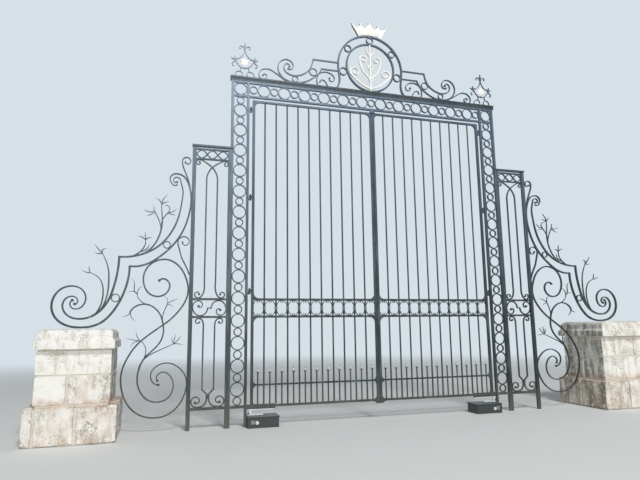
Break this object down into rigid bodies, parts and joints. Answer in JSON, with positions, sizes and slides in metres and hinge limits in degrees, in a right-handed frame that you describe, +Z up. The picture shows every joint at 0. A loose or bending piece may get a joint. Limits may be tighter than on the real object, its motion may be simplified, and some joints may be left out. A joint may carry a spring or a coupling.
{
  "type": "wrought iron driveway gate",
  "caption": "Tall wrought iron driveway gate with two swinging leaves between ringed pilasters, a scrolled crest, side panels, scroll wings and low stone piers.",
  "frame": {"origin": "centre of the underside of the left hinge post, on the ground", "axes": "+X along the gate from the left post to the right one, +Y away from the drive's outer side, into the grounds, +Z up"},
  "size_m": [9.47, 1.1, 6.4219],
  "materials": {
    "ironwork": "satin blue-black paint, worn to grey on the edges",
    "white_enamel": "gloss white paint with gilt edges",
    "stone": "weathered limestone with lichen",
    "galvanised": "dull galvanised steel",
    "box_paint": "dark painted steel"
  },
  "bodies": {
    "frame": {"cornice": "ironwork", "crest_circles": "ironwork", "crest_coronet": "white_enamel", "crest_emblem": "white_enamel", "frieze_lower_rail": "ironwork", "frieze_rings": "ironwork", "frieze_upper_rail": "ironwork", "left_crest_scrolls": "ironwork", "left_finial": "ironwork", "left_finial_star": "white_enamel", "left_hinge_post": "ironwork", "left_outer_post": "ironwork", "left_panel_posts": "ironwork", "left_panel_rails": "ironwork", "left_panel_scrolls": "ironwork", "left_pier_cap": "stone", "left_pier_plinth": "stone", "left_pier_shaft": "stone", "left_pilaster_rings": "ironwork", "left_pivot_box": "box_paint", "left_wing_scroll": "ironwork", "left_wing_sweep": "ironwork", "right_crest_scrolls": "ironwork", "right_finial": "ironwork", "right_finial_star": "white_enamel", "right_hinge_post": "ironwork", "right_outer_post": "ironwork", "right_panel_posts": "ironwork", "right_panel_rails": "ironwork", "right_panel_scrolls": "ironwork", "right_pier_cap": "stone", "right_pier_plinth": "stone", "right_pier_shaft": "stone", "right_pilaster_rings": "ironwork", "right_pivot_box": "box_paint", "right_wing_scroll": "ironwork", "right_wing_sweep": "ironwork"},
    "left_leaf": {"left_heel_bracket": "galvanised", "left_leaf_band_scrolls": "ironwork", "left_leaf_bars": "ironwork", "left_leaf_dog_bars": "ironwork", "left_leaf_frame": "ironwork"},
    "right_leaf": {"right_heel_bracket": "galvanised", "right_leaf_band_scrolls": "ironwork", "right_leaf_bars": "ironwork", "right_leaf_dog_bars": "ironwork", "right_leaf_frame": "ironwork"}
  },
  "joints": [
    {"name": "left_leaf_swing", "type": "hinge", "parent": "frame", "child": "left_leaf", "pos_m": [0.0435, 0, 0.2], "axis": [0, 0, 1], "range_deg": [0, 90]},
    {"name": "right_leaf_swing", "type": "hinge", "parent": "frame", "child": "right_leaf", "pos_m": [4.0045, 0, 0.2], "axis": [0, 0, -1], "range_deg": [0, 90]}
  ]
}
